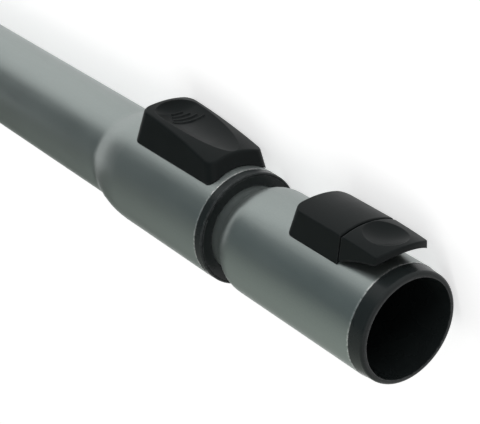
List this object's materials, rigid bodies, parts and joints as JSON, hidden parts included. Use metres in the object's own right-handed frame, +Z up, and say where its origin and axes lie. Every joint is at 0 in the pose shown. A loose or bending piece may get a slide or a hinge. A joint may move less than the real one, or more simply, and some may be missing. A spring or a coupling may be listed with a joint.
{
  "type": "telescopic vacuum wand",
  "caption": "Telescopic steel wand for a vacuum cleaner: dished slide button with a lock pin in embossed stops, and a flared socket with a sprung tool latch.",
  "frame": {"origin": "on the tubes' axis in the mouth face, where the socket's bore begins", "axes": "+X along the tubes and out of the mouth, +Z up; the wand lies at rest on the wide part of its outer tube, on the collar at its handle end and on one edge of the slide button"},
  "size_m": [0.62, 0.0524, 0.0422],
  "materials": {
    "tube_paint": "satin grey metallic",
    "black_plastic": "satin",
    "white_plastic": "natural",
    "steel": "bright",
    "felt": "felt"
  },
  "bodies": {
    "outer": {"outer_tube": "tube_paint", "end_collar": "black_plastic", "guide_bush": "black_plastic", "wiper_seal": "felt", "button_guide": "white_plastic", "guide_screw_rear": "steel", "guide_screw_left": "steel", "guide_screw_right": "steel", "button_spring": "steel"},
    "inner": {"inner_tube": "tube_paint", "rear_guide_left": "white_plastic", "rear_guide_right": "white_plastic", "rear_seal": "felt", "socket_liner": "black_plastic", "latch_housing": "black_plastic", "latch_axle": "steel", "latch_spring": "steel"},
    "button": {"slide_button": "black_plastic"},
    "pin": {"lock_pin": "steel"},
    "lever": {"latch_lever": "black_plastic"}
  },
  "joints": [
    {"name": "tube_extension", "type": "slide", "parent": "outer", "child": "inner", "axis": [1, 0, 0], "range_m": [0, 0.36]},
    {"name": "button_slide", "type": "slide", "parent": "outer", "child": "button", "axis": [-1, 0, 0], "range_m": [0, 0.006], "stiffness_N_per_m": 800, "springref_m": -0.002, "deforming": ["button_spring"]},
    {"name": "pin_lift", "type": "slide", "parent": "outer", "child": "pin", "axis": [0, 0.9378, -0.3471], "range_m": [0, 0.002]},
    {"name": "latch_press", "type": "hinge", "parent": "inner", "child": "lever", "pos_m": [-0.0252, 0.02007, -0.00743], "axis": [0, -0.3471, -0.9378], "range_deg": [0, 7.5], "stiffness_Nm_per_rad": 0.25, "springref_deg": -3.44, "deforming": ["latch_spring"]}
  ],
  "couplings": [
    {"joint": "pin_lift", "follows": "button_slide", "ratio": 0.33333}
  ]
}
